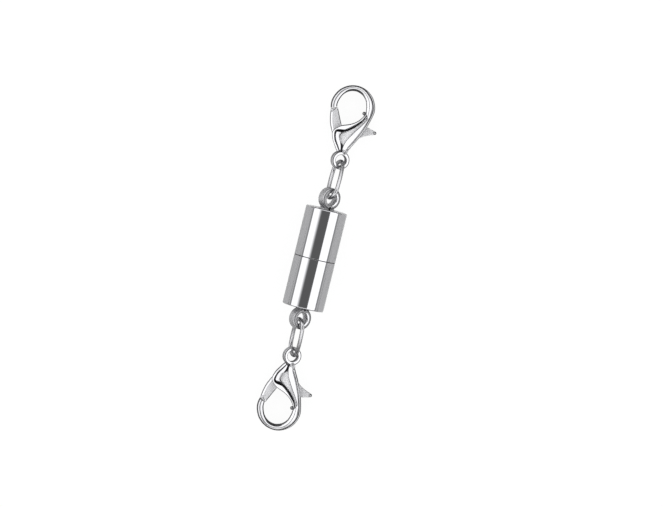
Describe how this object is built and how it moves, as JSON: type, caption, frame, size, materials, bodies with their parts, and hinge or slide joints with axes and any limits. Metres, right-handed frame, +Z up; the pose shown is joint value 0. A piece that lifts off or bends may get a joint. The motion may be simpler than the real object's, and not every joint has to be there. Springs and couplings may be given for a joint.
{
  "type": "magnetic clasp",
  "caption": "Magnetic clasp for a necklace or bracelet: a round barrel that pulls apart at its middle, with an oval ring and a lobster claw on each end.",
  "frame": {"origin": "middle of the bounding box on the surface that the clasp lies on, under the seam between the magnets", "axes": "+Y along the clasp towards the upper claw, +Z up from the surface, +X towards the side of the thumb tabs"},
  "size_m": [0.0076, 0.0526, 0.0062],
  "materials": {
    "barrels": "polished bright plating on brass",
    "magnets": "satin nickel plating on sintered magnet",
    "jump_rings": "polished bright plating on brass wire",
    "claws": "polished bright plating on a casting",
    "levers": "bright plating on a stamped lever, softer shine",
    "pins": "drawn wire"
  },
  "bodies": {
    "lower_half": {"barrel_lower": "barrels", "magnet_lower": "magnets", "jump_ring_lower": "jump_rings", "claw_body_lower": "claws", "claw_pin_lower": "pins"},
    "upper_half": {"barrel_upper": "barrels", "magnet_upper": "magnets", "jump_ring_upper": "jump_rings", "claw_body_upper": "claws", "claw_pin_upper": "pins"},
    "lower_lever": {"claw_lever_lower": "levers"},
    "upper_lever": {"claw_lever_upper": "levers"}
  },
  "joints": [
    {"name": "halves_apart", "type": "slide", "parent": "lower_half", "child": "upper_half", "axis": [0, 1, 0], "range_m": [0, 0.01], "stiffness_N_per_m": 250},
    {"name": "upper_lever_pivot", "type": "hinge", "parent": "upper_half", "child": "upper_lever", "pos_m": [-0.0016, 0.01828, 0.0015], "axis": [0, 0, -1], "range_deg": [0, 25], "stiffness_Nm_per_rad": 0.01},
    {"name": "lower_lever_pivot", "type": "hinge", "parent": "lower_half", "child": "lower_lever", "pos_m": [-0.0016, -0.01828, 0.0015], "axis": [0, 0, 1], "range_deg": [0, 25], "stiffness_Nm_per_rad": 0.01}
  ]
}
